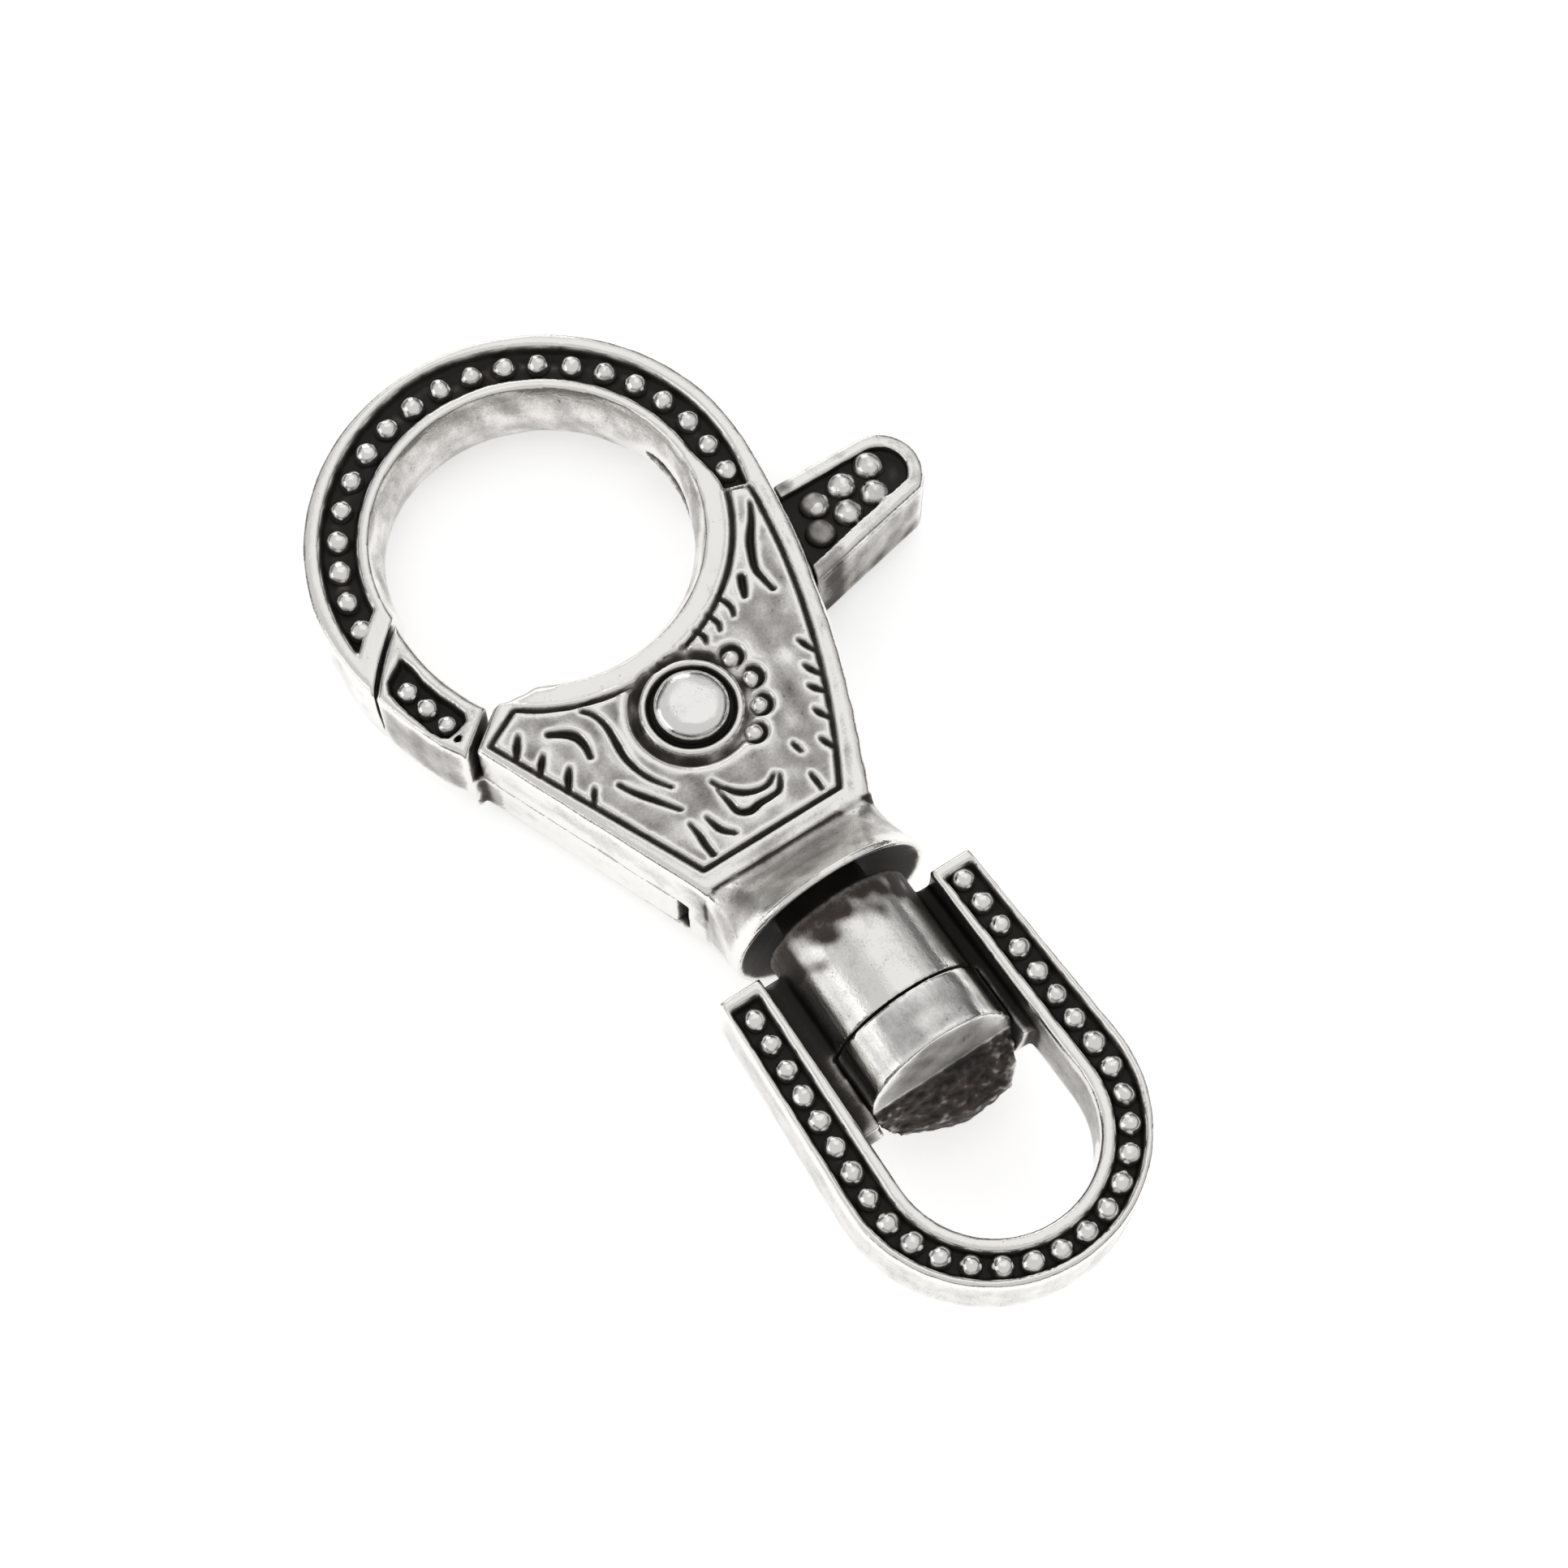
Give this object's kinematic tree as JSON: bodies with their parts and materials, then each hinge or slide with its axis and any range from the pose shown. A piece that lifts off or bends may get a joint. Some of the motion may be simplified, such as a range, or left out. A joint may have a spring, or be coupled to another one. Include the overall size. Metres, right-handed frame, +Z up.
{
  "type": "swivel carabiner clasp",
  "caption": "Antique silver swivel clasp: round hook ring with a sprung gate and thumb tab, shield body, and a beaded bail that turns on a pin.",
  "frame": {"origin": "centre of the hook ring's hole, on the surface that the clasp lies on", "axes": "+X from the hook ring towards the bail, +Z up from the clasp's back to its front, +Y to the thumb tab"},
  "size_m": [0.0407, 0.0219, 0.0077],
  "materials": {
    "cast_silver": "cast silver, blackened in the recesses and polished on the high spots",
    "polished_silver": "polished silver, lightly worn"
  },
  "bodies": {
    "claw": {"claw_body": "cast_silver", "pivot_rivet": "polished_silver", "swivel_pin": "polished_silver"},
    "gate": {"gate_lever": "cast_silver"},
    "bail": {"swivel_bail": "cast_silver"}
  },
  "joints": [
    {"name": "gate_pivot", "type": "hinge", "parent": "claw", "child": "gate", "pos_m": [0.00859, 0.0009, 0.00326], "axis": [-0.0704, 0, 0.9975], "range_deg": [-28, 0], "stiffness_Nm_per_rad": 0.02, "springref_deg": 17.19},
    {"name": "bail_swivel", "type": "hinge", "parent": "claw", "child": "bail", "pos_m": [0.01976, 0.00105, 0.00404], "axis": [0.9975, 0, 0.0704], "continuous": true}
  ]
}
